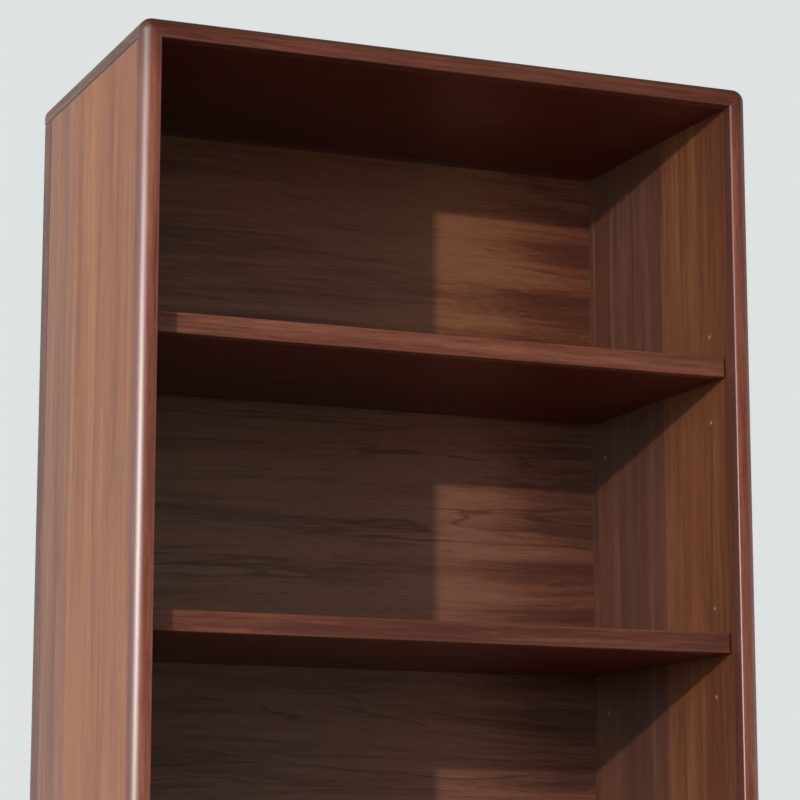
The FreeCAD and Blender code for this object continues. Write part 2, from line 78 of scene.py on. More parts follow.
def add(tree, kind, inputs=None, **settings):
    """Adds a shader node, sets its own properties, and fills or links its inputs."""
    node = tree.nodes.new(kind)
    for name, value in settings.items():
        setattr(node, name, value)
    for key, value in (inputs or {}).items():
        if isinstance(value, bpy.types.NodeSocket):
            tree.links.new(value, node.inputs[key])
        else:
            node.inputs[key].default_value = value
    return node


def reckon(tree, operation, first, second=0.0, third=0.0):
    """One step of arithmetic on numbers or sockets."""
    return add(tree, "ShaderNodeMath", {0: first, 1: second, 2: third}, operation=operation).outputs[0]


def cloud(tree, place, scale, detail=2.0, roughness=0.5, distortion=0.0, output="Fac"):
    """A soft random field, 0 to 1, at so many lumps to the metre."""
    return add(tree, "ShaderNodeTexNoise",
               {"Vector": place, "Scale": scale, "Detail": detail, "Roughness": roughness,
                "Distortion": distortion}).outputs[output]


def stretched(tree, place, along, share):
    """A place with one axis drawn out, so that a field on it becomes long streaks."""
    scale = [1.0, 1.0, 1.0]
    scale[along] = share
    return add(tree, "ShaderNodeMapping", {"Vector": place, "Scale": scale}).outputs[0]


def moved(tree, place, amount, way):
    """A place moved some way by an amount."""
    return add(tree, "ShaderNodeVectorMath", {0: amount, 1: way, 2: place},
               operation="MULTIPLY_ADD").outputs[0]


def spread(tree, value, low, high, to_low=0.0, to_high=1.0):
    """Stretches the part of a field between two levels, with soft ends."""
    return add(tree, "ShaderNodeMapRange",
               {"Value": value, "From Min": low, "From Max": high, "To Min": to_low, "To Max": to_high},
               interpolation_type="SMOOTHSTEP").outputs["Result"]


def blend(tree, share, first, second):
    """Mixes two colours."""
    node = add(tree, "ShaderNodeMix", data_type="RGBA")
    sockets = {"Factor_Float": share, "A_Color": first, "B_Color": second}
    for socket in node.inputs:
        if socket.identifier in sockets:
            value = sockets[socket.identifier]
            if isinstance(value, bpy.types.NodeSocket):
                tree.links.new(value, socket)
            else:
                socket.default_value = value
    return next(socket for socket in node.outputs if socket.identifier == "Result_Color")


def shades(tree, value, colours):
    """A run of shades from dark to pale, evenly spaced."""
    node = add(tree, "ShaderNodeValToRGB", {"Fac": value})
    ramp = node.color_ramp
    ramp.interpolation = "B_SPLINE"
    while len(ramp.elements) < len(colours):
        ramp.elements.new(1.0)
    for number, colour in enumerate(colours):
        ramp.elements[number].position = number / (len(colours) - 1)
        ramp.elements[number].color = tone(*colour)
    return node.outputs["Color"]


def meeting(tree, sides, first, second, share=1.0):
    """Where two bands meet, up to a share.
    A band is (axis, start, end): nothing before its start, and whole past its end."""
    axis, start, end = first
    other_axis, other_start, other_end = second
    return reckon(tree, "MULTIPLY", spread(tree, sides[axis], start, end, 0.0, share),
                  spread(tree, sides[other_axis], other_start, other_end))


LEAF_BLUR = 0.010
LEAF_SHIFT = (1.7, 2.3, 3.1)
LEAF_HUE_SHARE = 0.75


def in_leaves(tree, spot, hue, across, leaves):
    """Veneer laid in leaves across the grain: the shifted place of the figure, the hue and lift of each leaf,
    and the distance from the nearest seam."""
    leaf_number = 0.0
    leaf_hue = leaves[0][1]
    lift = leaves[0][2]
    seam = 1.0
    for (start, cool_share, leaf_lift), (_, cool_before, lift_before) in zip(leaves[1:], leaves):
        past = reckon(tree, "GREATER_THAN", across, start)
        leaf_number = reckon(tree, "ADD", leaf_number, past)
        softly = spread(tree, across, start - LEAF_BLUR, start + LEAF_BLUR)
        leaf_hue = reckon(tree, "MULTIPLY_ADD", softly, cool_share - cool_before, leaf_hue)
        lift = reckon(tree, "MULTIPLY_ADD", softly, leaf_lift - lift_before, lift)
        away = reckon(tree, "ABSOLUTE", reckon(tree, "SUBTRACT", across, start))
        seam = reckon(tree, "MINIMUM", seam, away)
    place = moved(tree, spot, leaf_number, LEAF_SHIFT)
    rest = reckon(tree, "MULTIPLY", hue, 1.0 - LEAF_HUE_SHARE)
    return place, reckon(tree, "MULTIPLY_ADD", leaf_hue, LEAF_HUE_SHARE, rest), lift, seam


GRAIN_DRAW = 0.045
BEND_DRAW = 0.28
BEND_SCALE = 6.0


def wandering(tree, place, along, wander):
    """A place drawn out along the grain, which wanders a little to each side."""
    straight = stretched(tree, place, along, GRAIN_DRAW)
    bend = cloud(tree, stretched(tree, place, along, BEND_DRAW), BEND_SCALE, detail=1.5, output="Color")
    return moved(tree, straight, bend, (wander, wander, wander))


HALFWAY = 0.5
VEINS_TO_BAND = 1.7
VEIN_WIDTH = 0.040
PATCHES_TO_BAND = 0.6
PATCH_ENDS = (0.42, 0.62)


def vein_lines(tree, grain, band, veins):
    """Thin wavy lines that show in patches, up to a share."""
    line = cloud(tree, grain, band * VEINS_TO_BAND, distortion=0.4)
    line = reckon(tree, "ABSOLUTE", reckon(tree, "SUBTRACT", line, HALFWAY))
    line = spread(tree, line, 0.0, VEIN_WIDTH, 1.0, 0.0)
    patches = spread(tree, cloud(tree, grain, band * PATCHES_TO_BAND, detail=1.0), *PATCH_ENDS, 0.0, veins)
    return reckon(tree, "MULTIPLY", line, patches)


RUB_SCALE = 90.0
RUB_ENDS = (0.35, 0.65)
RUB_LEAST = 0.25


def rubbed_edges(tree, halves, grain, worn):
    """Where hands have rubbed the edges, in patches."""
    rubbed = 0.0
    for first, second in worn:
        rubbed = reckon(tree, "MAXIMUM", rubbed, meeting(tree, halves, first, second))
    patchy = spread(tree, cloud(tree, grain, RUB_SCALE, detail=3.0), *RUB_ENDS, RUB_LEAST, 1.0)
    return reckon(tree, "MULTIPLY", rubbed, patchy)


# The layers of the figure: how far each is drawn out, its lumps to the metre, and its share in the shade.
HUE_DRAW = 0.3
HUE_SCALE = 6.0
HUE_ENDS = (0.15, 0.85)
BAND_SHARE = 0.46
STREAKS_TO_BAND = 5.0
STREAK_SHARE = 0.34
HAIR_SCALE = 640.0
HAIR_SHARE = 0.20
PORE_DRAW = 0.03
PORE_SCALE = 1150.0
PORE_ENDS = (0.60, 0.72)
PORE_SHARE = 0.40
SEAM_ENDS = (0.0002, 0.0010)
SEAM_SHARE = 0.45
# What rubbing does to the stain and the gloss, and the flakes of the raw board inside holes.
RUB_SHARE = 0.55
RUB_DULLING = 0.12
CORE_BLUR = 0.0002
FLAKE_SCALE = 420.0
FLAKE_ENDS = (0.4, 0.7)
FLAKE_SHARE = 0.5
# The lacquer over the figure: it sinks into the pores, follows the hairs and is duller on the streaks.
HAIR_RISE = 0.35
PORE_SINK = -0.8
STREAK_DULLING = 0.5
PORE_DULLING = 0.35
DULLING_ENDS = (0.15, 0.6)
THIN_COAT = 0.12


def wood(name, along, warm, cool, vein, across=SIDEWAYS, leaves=(), band=26.0, veins=0.4, wander=0.010,
         contrast=0.18, lift=0.0, painted_light=(), gloss=(0.34, 0.48), mirror=0.3, coat=THIN_COAT, coat_blur=0.22,
         coat_bend=1.5, worn=(), stain_and_shade=(), polished=(), core=None):
    """Lacquered wood whose grain runs along one axis.
    Slow bands, streaks and hairs set its shade, dark veins and open pores are drawn over them, and each
    leaf of a veneered face takes its own stretch of the figure and its own share of the two hues.
    Worn edges are pairs of bands, and the stain is rubbed thin where they meet.
    Stained places are pairs of bands with a share and a colour, where stain has gathered and dried, or where
    shade is painted.
    Polished places are single bands: the coat is whole there and thin everywhere else.
    Painted light is pairs of bands with a change: the shade is painted slowly paler or darker along the grain
    of one face.
    A core is (low, high, colour): the raw board that shows inside holes, between two distances from x = 0."""
    material = bpy.data.materials.new(name)
    material.use_nodes = True
    tree = material.node_tree
    spot = add(tree, "ShaderNodeTexCoord").outputs["Object"]
    parts = add(tree, "ShaderNodeSeparateXYZ", {0: spot}).outputs
    halves = (reckon(tree, "ABSOLUTE", parts[SIDEWAYS]), parts[BACKWARDS], parts[UPWARDS])

    place = spot
    hue = cloud(tree, stretched(tree, spot, along, HUE_DRAW), HUE_SCALE, detail=1.0)
    seam = None
    if leaves:
        place, hue, lift, seam = in_leaves(tree, spot, hue, parts[across], leaves)
    # Painted light and shade: the shade is lifted or lowered slowly along one face.
    for first, second, change in painted_light:
        lift = reckon(tree, "MULTIPLY_ADD", meeting(tree, parts, first, second), change, lift)

    grain = wandering(tree, place, along, wander)
    bands = cloud(tree, grain, band, roughness=0.55)
    streaks = cloud(tree, grain, band * STREAKS_TO_BAND, detail=3.0, roughness=0.6)
    hairs = cloud(tree, grain, HAIR_SCALE, roughness=0.6)
    shade = lift
    for layer, share in ((bands, BAND_SHARE), (streaks, STREAK_SHARE), (hairs, HAIR_SHARE)):
        shade = reckon(tree, "MULTIPLY_ADD", layer, share, shade)
    shade = spread(tree, shade, HALFWAY - contrast, HALFWAY + contrast)
    colour = blend(tree, spread(tree, hue, *HUE_ENDS), shades(tree, shade, warm), shades(tree, shade, cool))

    dark = tone(*vein)
    colour = blend(tree, vein_lines(tree, grain, band, veins), colour, dark)
    pore = cloud(tree, stretched(tree, place, along, PORE_DRAW), PORE_SCALE, detail=1.0)
    pore = spread(tree, pore, *PORE_ENDS)
    colour = blend(tree, reckon(tree, "MULTIPLY", pore, PORE_SHARE), colour, dark)
    if seam is not None:
        colour = blend(tree, spread(tree, seam, *SEAM_ENDS, SEAM_SHARE, 0.0), colour, dark)

    dull = reckon(tree, "MULTIPLY_ADD", streaks, STREAK_DULLING, reckon(tree, "MULTIPLY", pore, PORE_DULLING))
    # Stain in the grooves, and painted shade under the boards and on the front frame.
    for first, second, share, stain in stain_and_shade:
        colour = blend(tree, meeting(tree, halves, first, second, share), colour, tone(*stain))
    if worn:
        rubbed = rubbed_edges(tree, halves, grain, worn)
        colour = blend(tree, reckon(tree, "MULTIPLY", rubbed, RUB_SHARE), colour, tone(*warm[-1]))
        dull = reckon(tree, "MULTIPLY_ADD", rubbed, RUB_DULLING, dull)
    if core is not None:
        low, high, raw = core
        inside = reckon(tree, "MULTIPLY", spread(tree, halves[SIDEWAYS], low, low + CORE_BLUR),
                        spread(tree, halves[SIDEWAYS], high - CORE_BLUR, high, 1.0, 0.0))
        flakes = spread(tree, cloud(tree, spot, FLAKE_SCALE), *FLAKE_ENDS, 0.0, FLAKE_SHARE)
        colour = blend(tree, inside, colour, blend(tree, flakes, tone(*raw), dark))

    height = reckon(tree, "MULTIPLY_ADD", hairs, HAIR_RISE, reckon(tree, "MULTIPLY", pore, PORE_SINK))
    bump = add(tree, "ShaderNodeBump", {"Height": height, "Strength": 0.22, "Distance": 0.0002})
    lacquer = tree.nodes["Principled BSDF"]
    tree.links.new(colour, lacquer.inputs["Base Color"])
    tree.links.new(spread(tree, dull, *DULLING_ENDS, *gloss), lacquer.inputs["Roughness"])
    tree.links.new(bump.outputs["Normal"], lacquer.inputs["Normal"])
    lacquer.inputs["Specular IOR Level"].default_value = mirror
    lacquer.inputs["Coat Weight"].default_value = coat
    lacquer.inputs["Coat Roughness"].default_value = coat_blur
    lacquer.inputs["Coat IOR"].default_value = coat_bend
    if polished:
        sheen = 0.0
        for axis, start, end in polished:
            sheen = reckon(tree, "MAXIMUM", sheen, spread(tree, halves[axis], start, end, THIN_COAT, coat))
        tree.links.new(sheen, lacquer.inputs["Coat Weight"])
    return material


def dress(finish, *names):
    """Gives a finish to carried-over nodes."""
    for name in names:
        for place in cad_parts[name].material_slots:
            place.material = finish


side_low, side_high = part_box("right_side_panel")
outside = (SIDEWAYS, side_high.x - GROOVE_SKIN - GROOVE_SKIN_BLUR, side_high.x - GROOVE_SKIN)


def groove(axis, edge, way):
    """The stain in a V-groove along an edge of a side panel.
    The way is -1 for the panel's own wall of the groove, and 1 for the wall of the strip beside it."""
    wall = (axis, edge + way * GROOVE_EDGE, edge + way * GROOVE_WALL)
    return (outside, wall, GROOVE_SHARE, GROOVE_STAIN)


side_grooves = (groove(BACKWARDS, side_high.y, -1), groove(UPWARDS, side_high.z, -1))
raw_board = (side_low.x, side_high.x - GROOVE_DEPTH, CHIPBOARD)
for side, leaves in (("left_side", LEFT_LEAVES), ("right_side", RIGHT_LEAVES)):
    side_veneer = wood(f"{side}_veneer", UPWARDS, SIDE_WARM, SIDE_COOL, SIDE_VEIN, across=BACKWARDS,
                       leaves=leaves, veins=0.25, contrast=0.22, stain_and_shade=side_grooves, core=raw_board)
    dress(side_veneer, f"{side}_panel")

# The rear strips: solid upright strips of dark heartwood glued behind the side panels.
# A V-groove is planed along the glue line, and a rebate behind takes the back.
HEART_WARM = ((64, 33, 23), (92, 52, 38), (108, 65, 48), (123, 80, 61))
HEART_COOL = ((61, 38, 32), (86, 57, 49), (102, 71, 61), (118, 86, 75))
HEART_VEIN = (34, 18, 14)
SOLID_BAND = 44.0


def heartwood(name, along, stain_and_shade=()):
    """Dark solid wood, with narrower bands than the veneer and a fuller coat."""
    return wood(name, along, HEART_WARM, HEART_COOL, HEART_VEIN, band=SOLID_BAND, veins=0.3, coat=0.2,
                stain_and_shade=stain_and_shade)


upright_heartwood = heartwood("upright_heartwood", UPWARDS, (groove(BACKWARDS, side_high.y, 1),))
dress(upright_heartwood, "left_rear_lipping", "right_rear_lipping")

# The plinth: two boards of solid wood on edge under the bottom, set back from the front for the toes.
# They are doweled between the side panels.
level_heartwood = heartwood("level_heartwood", SIDEWAYS)
dress(level_heartwood, "front_plinth_board", "rear_plinth_board")

# The dowels: pale beech pins glued into the bottom, the plinth and the rims.
# They are out of sight once the case is glued up.
DOWEL_WARM = ((168, 128, 84), (190, 150, 104), (204, 166, 120), (214, 180, 136))
DOWEL_COOL = ((160, 126, 90), (182, 148, 110), (196, 164, 126), (208, 178, 142))
DOWEL_PORE = (140, 100, 64)
dowel_wood = wood("dowel_wood", SIDEWAYS, DOWEL_WARM, DOWEL_COOL, DOWEL_PORE, veins=0.1, gloss=(0.6, 0.75),
                  coat=0.0)
dress(dowel_wood, "top_dowels", "bottom_dowels", "plinth_dowels")

# The bottom: a veneered board between the sides, with the grain running across. Like the top and the
# shelves, its underside is painted a deeper red, as shade under it. A solid strip is glued along its front,
# and the strip's two front edges are rounded by hand.
LEVEL_LEAVES = ((-0.192, 0.40, 0.00), (-0.075, 0.15, 0.05), (0.045, 0.70, -0.03), (0.150, 0.35, 0.00))
LEVEL_WARM = ((86, 37, 24), (112, 54, 35), (127, 67, 45), (141, 82, 57))
LEVEL_COOL = ((79, 39, 30), (102, 54, 41), (117, 67, 52), (131, 82, 65))
LEVEL_VEIN = (50, 24, 17)
# Painted shade: a deep dark red for the undersides of the level boards, where shade falls under them.
UNDER_PAINTED_SHADE = (92, 8, 4)
UNDER_SHADE_SHARE = 0.85
UNDER_SKIN = 0.0005
SHELF_COUNT = 4
STRIP_WARM = ((84, 39, 26), (114, 59, 38), (131, 72, 48), (147, 90, 63))
STRIP_COOL = ((80, 40, 31), (108, 58, 44), (125, 73, 56), (142, 89, 72))
STRIP_VEIN = (56, 25, 18)
STRIP_ARRIS = 0.002
STRIP_RUB = 0.004
ARRIS_STEPS = 4
GLUE_ARRIS = 0.0005
SOFT_ANGLE = math.radians(30)
HAIR = 0.00001


def take_up(piece):
    """Selects one piece and nothing else."""
    bpy.ops.object.select_all(action="DESELECT")
    piece.select_set(True)
    bpy.context.view_layer.objects.active = piece


def settle():
    """Puts the place, turn and size of the selected piece into its mesh."""
    bpy.ops.object.transform_apply(location=True, rotation=True, scale=True)


def block(name, low, high):
    """Adds a block between two corners and opens it for shaping by its edges."""
    bpy.ops.object.select_all(action="DESELECT")
    bpy.ops.mesh.primitive_cube_add(size=1.0, location=(low + high) / 2)
    piece = bpy.context.object
    piece.name = name
    piece.scale = high - low
    settle()
    bpy.ops.object.mode_set(mode="EDIT")
    return piece


def near(a, b):
    """Whether two lengths are the same, but for a hair."""
    return abs(a - b) < HAIR


def both_at(a, b, axis, level):
    """Whether the two ends of an edge lie at one level of an axis."""
    return near(a[axis], level) and near(b[axis], level)


def pick_edges(wanted):
    """Selects the edges whose two ends pass a test of their places."""
    bpy.ops.mesh.select_mode(type="EDGE")
    bpy.ops.mesh.select_all(action="DESELECT")
    mesh = bmesh.from_edit_mesh(bpy.context.edit_object.data)
    for edge in mesh.edges:
        edge.select_set(wanted(*[corner.co for corner in edge.verts]))
    bmesh.update_edit_mesh(bpy.context.edit_object.data)


def round_over(radius, steps):
    """Rounds the selected edges."""
    bpy.ops.mesh.bevel(offset_type="OFFSET", offset=radius, segments=steps, profile=0.5, affect="EDGES",
                       clamp_overlap=False)


def ease(piece):
    """Takes the sharpness off every arris that is left, and shades the rounds smooth."""
    bpy.ops.object.mode_set(mode="OBJECT")
    take_up(piece)
    arris = piece.modifiers.new("arris", "BEVEL")
    arris.width = GLUE_ARRIS
    arris.segments = 2
    arris.limit_method = "ANGLE"
    arris.angle_limit = SOFT_ANGLE
    bpy.ops.object.modifier_apply(modifier=arris.name)
    bpy.ops.object.shade_smooth_by_angle(angle=SOFT_ANGLE)


def front_rub(low, high):
    """The two front edges of a level strip, upper and lower, where hands rub the stain thin."""
    front = (BACKWARDS, low.y + STRIP_RUB, low.y)
    upper = (UPWARDS, high.z - STRIP_RUB, high.z)
    lower = (UPWARDS, low.z + STRIP_RUB, low.z)
    return ((upper, front), (lower, front))


def level_strip(name, low, high, lift=0.0):
    """The reddish wood of a level front strip, with its rubbed edges. No two strips are quite one shade."""
    return wood(name, SIDEWAYS, STRIP_WARM, STRIP_COOL, STRIP_VEIN, band=SOLID_BAND, lift=lift,
                gloss=(0.40, 0.52), coat=0.08, coat_blur=0.35, worn=front_rub(low, high))


level_boards = ["bottom_panel", "top_panel"]
for number in range(1, SHELF_COUNT + 1):
    level_boards.append(f"shelf_{number}_board")
painted_undershade = []
# Painted shade: a thin skin at the underside of each level board takes the deep red.
for board in level_boards:
    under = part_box(board)[0].z
    skin_top = (UPWARDS, under + UNDER_SKIN, under)
    skin_foot = (UPWARDS, under - 2 * UNDER_SKIN, under - UNDER_SKIN)
    painted_undershade.append((skin_top, skin_foot, UNDER_SHADE_SHARE, UNDER_PAINTED_SHADE))
level_veneer = wood("level_veneer", SIDEWAYS, LEVEL_WARM, LEVEL_COOL, LEVEL_VEIN, across=BACKWARDS,
                    leaves=LEVEL_LEAVES, mirror=0.2, coat=0.08, stain_and_shade=painted_undershade)
dress(level_veneer, "bottom_panel")
bottom_low, bottom_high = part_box("bottom_front_lipping")
bottom_edge = block("bottom_front_edge", bottom_low, bottom_high)
pick_edges(lambda a, b: both_at(a, b, BACKWARDS, bottom_low.y) and near(a.z, b.z))
round_over(STRIP_ARRIS, ARRIS_STEPS)
ease(bottom_edge)
bottom_edge.data.materials.append(level_strip("bottom_strip", bottom_low, bottom_high))
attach(bottom_edge, "case")
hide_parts("bottom_front_lipping")

# The top: a veneered board between two rims of dark heartwood that are doweled onto the sides.
# The rims are rounded over above, and a rebated strip behind the board takes the back.
rim_heartwood = heartwood("rim_heartwood", BACKWARDS, (groove(UPWARDS, side_high.z, 1),))
dress(level_veneer, "top_panel")
dress(level_heartwood, "top_rear_lipping")
dress(rim_heartwood, "top_left_rim", "top_right_rim")

# The front frame: two posts and a rail of solid wood, mitred at the top corners and glued over the edges
# of the panels. It is rounded over outside as one piece, eased along the opening and polished brightest.
FRAME_ROUND = 0.015
FRAME_CORNER = 0.016
FRAME_ARRIS = 0.002
ROUND_STEPS = 10
FLAT_ANGLE = math.radians(0.5)
POST_WARM = ((98, 42, 31), (131, 68, 52), (147, 85, 67), (162, 104, 85))
POST_COOL = ((95, 48, 39), (126, 71, 59), (143, 88, 76), (158, 107, 94))
POST_VEIN_AND_SHADE = (60, 21, 14)
RAIL_WARM = ((74, 29, 19), (102, 48, 32), (116, 60, 42), (129, 76, 55))
RAIL_COOL = ((71, 33, 26), (98, 51, 39), (112, 64, 50), (126, 79, 64))
# Painted shade behind the front, along the opening and on the outer rounding, towards the posts' tops, and on
# the rail's upper rounding.
OPENING_PAINTED_SHADE = 0.75
ROUND_PAINTED_SHADE = 0.65
POST_TOP_PAINTED_SHADE = 0.6
POST_TOP_REACH = 0.07
RAIL_PAINTED_SHADE = 0.6
SHADE_START = 0.7 * FRAME_ROUND
SHADE_WHOLE = 0.2 * FRAME_ROUND
POLISH_START = 0.9 * FRAME_ROUND
POLISH_WHOLE = 0.55 * FRAME_ROUND
OPENING_POLISH_WHOLE = 0.6 * FRAME_ARRIS

post_low, post_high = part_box("left_front_lipping")
rail_low, rail_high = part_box("top_front_lipping")
HALF_OUT = -post_low.x
HALF_IN = -post_high.x
FRAME_FRONT = post_low.y
FRAME_FOOT = post_low.z
FRAME_UNDER = rail_low.z
FRAME_TOP = rail_high.z


def pick_faces(wanted):
    """Selects the faces whose middle passes a test of its place."""
    bpy.ops.mesh.select_mode(type="FACE")
    bpy.ops.mesh.select_all(action="DESELECT")
    mesh = bmesh.from_edit_mesh(bpy.context.edit_object.data)
    for face in mesh.faces:
        face.select_set(wanted(face.calc_center_median()))
    bmesh.update_edit_mesh(bpy.context.edit_object.data)


def copy_of(piece, name, shift=(0, 0, 0)):
    """A copy of a piece with a mesh of its own, set off by a distance."""
    take_up(piece)
    bpy.ops.object.duplicate()
    twin = bpy.context.object
    twin.name = name
    bpy.ops.transform.translate(value=shift)
    settle()
    return twin


def on_outline(p):
    """Whether a point of the frame's front lies on its outer outline, round corners included."""
    beyond_x = abs(p.x) - HALF_OUT + FRAME_CORNER
    beyond_z = p.z - FRAME_TOP + FRAME_CORNER
    if beyond_x > HAIR and beyond_z > HAIR:
        return near(math.hypot(beyond_x, beyond_z), FRAME_CORNER)
    return near(abs(p.x), HALF_OUT) or near(p.z, FRAME_TOP)


def on_opening(p):
    """Whether a point of the frame lies on the edge of the opening."""
    beside = near(abs(p.x), HALF_IN) and p.z < FRAME_UNDER + HAIR
    under = near(p.z, FRAME_UNDER) and abs(p.x) < HALF_IN + HAIR
    return beside or under


whole = block("front_frame", Vector((-HALF_OUT, FRAME_FRONT, FRAME_FOOT)),
              Vector((HALF_OUT, post_high.y, FRAME_TOP)))
pick_edges(lambda a, b: both_at(a, b, UPWARDS, FRAME_TOP) and near(a.x, b.x))
round_over(FRAME_CORNER, ROUND_STEPS)
pick_edges(lambda a, b: both_at(a, b, BACKWARDS, FRAME_FRONT) and on_outline(a) and on_outline(b)
           and not both_at(a, b, UPWARDS, FRAME_FOOT))
round_over(FRAME_ROUND, ROUND_STEPS)
for cut_point, cut_normal in (((-HALF_IN, 0, 0), (1, 0, 0)), ((HALF_IN, 0, 0), (1, 0, 0)),
                              ((0, 0, FRAME_UNDER), (0, 0, 1))):
    bpy.ops.mesh.select_all(action="SELECT")
    bpy.ops.mesh.bisect(plane_co=cut_point, plane_no=cut_normal)
pick_faces(lambda p: abs(p.x) < HALF_IN - HAIR and p.z < FRAME_UNDER - HAIR)
bpy.ops.mesh.delete(type="FACE")
pick_edges(lambda a, b: near(a.y, b.y) and on_opening(a) and on_opening(b))
bpy.ops.mesh.bridge_edge_loops()
bpy.ops.object.mode_set(mode="OBJECT")


def part_of_frame(name, cuts):
    """A copy of the whole frame, sawn off at each plane given as a point and the way of the waste,
    with its edge along the opening rounded a little."""
    piece = copy_of(whole, name)
    bpy.ops.object.mode_set(mode="EDIT")
    for point, waste in cuts:
        bpy.ops.mesh.select_all(action="SELECT")
        bpy.ops.mesh.bisect(plane_co=point, plane_no=waste, use_fill=True, clear_outer=True)
    bpy.ops.mesh.select_all(action="SELECT")
    bpy.ops.mesh.dissolve_limited(angle_limit=FLAT_ANGLE)
    pick_edges(lambda a, b: both_at(a, b, BACKWARDS, FRAME_FRONT) and on_opening(a) and on_opening(b))
    round_over(FRAME_ARRIS, ARRIS_STEPS)
    ease(piece)
    return piece


middle = (0, 0, 0)
left_corner = (-HALF_OUT, 0, FRAME_TOP)
right_corner = (HALF_OUT, 0, FRAME_TOP)
left_post = part_of_frame("left_front_post", ((middle, (1, 0, 0)), (left_corner, (1, 0, 1))))
right_post = part_of_frame("right_front_post", ((middle, (-1, 0, 0)), (right_corner, (-1, 0, 1))))
top_rail = part_of_frame("top_front_rail", ((left_corner, (-1, 0, -1)), (right_corner, (1, 0, -1))))
bpy.data.objects.remove(whole)

front_edge = (BACKWARDS, FRAME_FRONT + STRIP_RUB, FRAME_FRONT)
behind_front = (BACKWARDS, FRAME_FRONT, FRAME_FRONT + FRAME_ARRIS)
all_through = (BACKWARDS, FRAME_FRONT - FRAME_ARRIS, FRAME_FRONT)
post_opening = (SIDEWAYS, HALF_IN + FRAME_ARRIS / 2, HALF_IN)
post_round = (SIDEWAYS, HALF_OUT - SHADE_START, HALF_OUT - SHADE_WHOLE)
post_top = (UPWARDS, FRAME_UNDER - POST_TOP_REACH, FRAME_TOP)
# Painted shade on the posts: darker along the opening, on the outer rounding and towards their tops.
post_painted_shade = ((post_opening, behind_front, OPENING_PAINTED_SHADE, POST_VEIN_AND_SHADE),
              (post_round, behind_front, ROUND_PAINTED_SHADE, POST_VEIN_AND_SHADE),
              (post_top, all_through, POST_TOP_PAINTED_SHADE, POST_VEIN_AND_SHADE))
post_rub = (((SIDEWAYS, HALF_IN + STRIP_RUB, HALF_IN), front_edge),)
post_polish = ((SIDEWAYS, HALF_OUT - POLISH_START, HALF_OUT - POLISH_WHOLE),
               (SIDEWAYS, HALF_IN + FRAME_ARRIS, HALF_IN + OPENING_POLISH_WHOLE))
rail_round = (UPWARDS, FRAME_TOP - SHADE_START, FRAME_TOP - SHADE_WHOLE)
# Painted shade on the rail's upper rounding, where less light falls from above.
rail_painted_shade = ((rail_round, behind_front, RAIL_PAINTED_SHADE, POST_VEIN_AND_SHADE),)
rail_rub = (((UPWARDS, FRAME_UNDER + STRIP_RUB, FRAME_UNDER), front_edge),)
post_wood = wood("post_wood", UPWARDS, POST_WARM, POST_COOL, POST_VEIN_AND_SHADE, band=SOLID_BAND, veins=0.3,
                 contrast=0.26, gloss=(0.40, 0.50), mirror=0.1, coat=1.0, coat_blur=0.47, coat_bend=1.80,
                 worn=post_rub, stain_and_shade=post_painted_shade, polished=post_polish)
rail_wood = wood("rail_wood", SIDEWAYS, RAIL_WARM, RAIL_COOL, POST_VEIN_AND_SHADE, band=SOLID_BAND,
                 gloss=(0.40, 0.50), mirror=0.2, coat_blur=0.42, worn=rail_rub, stain_and_shade=rail_painted_shade)
for piece, node, finish in ((left_post, "left_front_lipping", post_wood),
                            (right_post, "right_front_lipping", post_wood),
                            (top_rail, "top_front_lipping", rail_wood)):
    piece.data.materials.append(finish)
    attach(piece, "case")
    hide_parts(node)

# The back: one sheet of thin board, veneered with the grain running across in a bold, wavy figure.
# It lies in the rebates behind the sides, the top and the bottom. Inside, the veneer is painted slowly paler
# from the left to past the middle, as painted light, and then darker towards the right, as painted shade.
BACK_WARM = ((84, 44, 31), (118, 67, 46), (137, 82, 57), (156, 103, 73))
BACK_COOL = ((75, 45, 38), (107, 68, 56), (126, 83, 69), (144, 101, 84))
BACK_VEIN = (52, 26, 21)
BACK_LEAVES = ((0.060, 0.50, 0.00), (0.410, 0.20, 0.04), (0.760, 0.65, 0.00), (1.105, 0.55, 0.05),
               (1.450, 0.15, 0.02))
# Painted light on the inner face of the back: paler up to past the middle, then painted shade to the right
# end.
PALEST_FROM = 0.100
PALEST_TO = 0.140
PAINTED_PALER = 0.09
PAINTED_DARKER = -0.20
back_low, back_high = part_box("back_panel")
inner_face = (BACKWARDS, back_high.y, back_low.y)
back_painted_light = (((SIDEWAYS, -side_low.x, PALEST_FROM), inner_face, PAINTED_PALER),
              ((SIDEWAYS, PALEST_TO, side_low.x), inner_face, PAINTED_DARKER))
back_veneer = wood("back_veneer", SIDEWAYS, BACK_WARM, BACK_COOL, BACK_VEIN, across=UPWARDS,
                   leaves=BACK_LEAVES, band=30.0, veins=0.55, wander=0.045, painted_light=back_painted_light)
dress(back_veneer, "back_panel")

# The back's screws: zinc-plated countersunk wood screws with a cross recess, level with the sheet.
# Five go up each side and three along the top and the bottom, each left at its own turn.
SCREWS_UP = 5
SCREW_INSET = 0.060
SCREW_SIDES = 24
SCREW_HEAD = 0.0035
SCREW_SHANK = 0.00175
SCREW_LENGTH = 0.020
SCREW_TIP = 0.004
SCREW_TURN = math.radians(37)
TIP_SHARE = 0.1
BACK_LAP = 0.010
CROSS_ARM = 0.0040
CROSS_WIDTH = 0.0009
CROSS_DEPTH = 0.0015
CROSS_TAPER = 0.5
STEEL_DARK = (118, 116, 112)
STEEL_PALE = (190, 188, 183)
STEEL_GLOSS = (0.25, 0.45)
BLOOM_SCALE = 900.0
BLOOM_ENDS = (0.35, 0.65)
GLOSS_ENDS = (0.3, 0.7)


